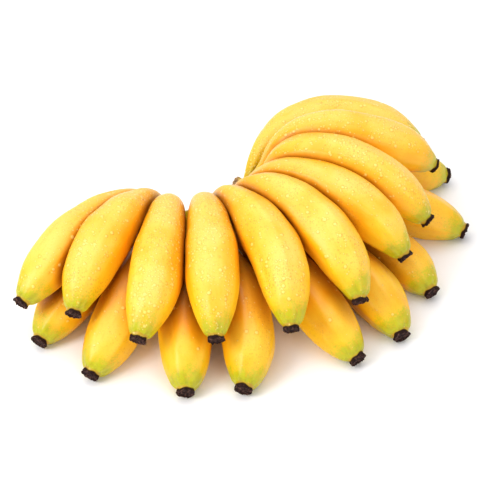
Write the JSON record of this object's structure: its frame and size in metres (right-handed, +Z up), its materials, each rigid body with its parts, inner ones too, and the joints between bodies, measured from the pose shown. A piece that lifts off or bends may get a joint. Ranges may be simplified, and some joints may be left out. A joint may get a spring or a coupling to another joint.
{
  "type": "banana bunch",
  "caption": "Bunch of small ripe bananas: arched fruit in an upper and a lower row fanning out of one shared crown, lying on its lower row.",
  "frame": {"origin": "middle of the bunch's box, on the surface it lies on", "axes": "+Z up from the surface the bunch lies on; the tips of the fruit point to -Y and round to +X, and the crown is at the back"},
  "size_m": [0.2866, 0.245, 0.0813],
  "materials": {
    "upper_peel": "smooth banana peel with a soft waxy sheen, green at the blossom end, dry and black-brown on the blossom scar",
    "lower_peel": "smooth banana peel with a soft waxy sheen, a little deeper yellow in the shade of the upper row",
    "crown_skin": "fibrous green-brown stalk with a dry cut side"
  },
  "bodies": {
    "root": {"upper_banana_01": "upper_peel", "upper_banana_02": "upper_peel", "upper_banana_03": "upper_peel", "upper_banana_04": "upper_peel", "upper_banana_05": "upper_peel", "upper_banana_06": "upper_peel", "upper_banana_07": "upper_peel", "upper_banana_08": "upper_peel", "upper_banana_09": "upper_peel", "upper_banana_10": "upper_peel", "lower_banana_01": "lower_peel", "lower_banana_02": "lower_peel", "lower_banana_03": "lower_peel", "lower_banana_04": "lower_peel", "lower_banana_05": "lower_peel", "lower_banana_06": "lower_peel", "lower_banana_07": "lower_peel", "lower_banana_08": "lower_peel", "lower_banana_09": "lower_peel", "crown": "crown_skin"}
  },
  "joints": []
}
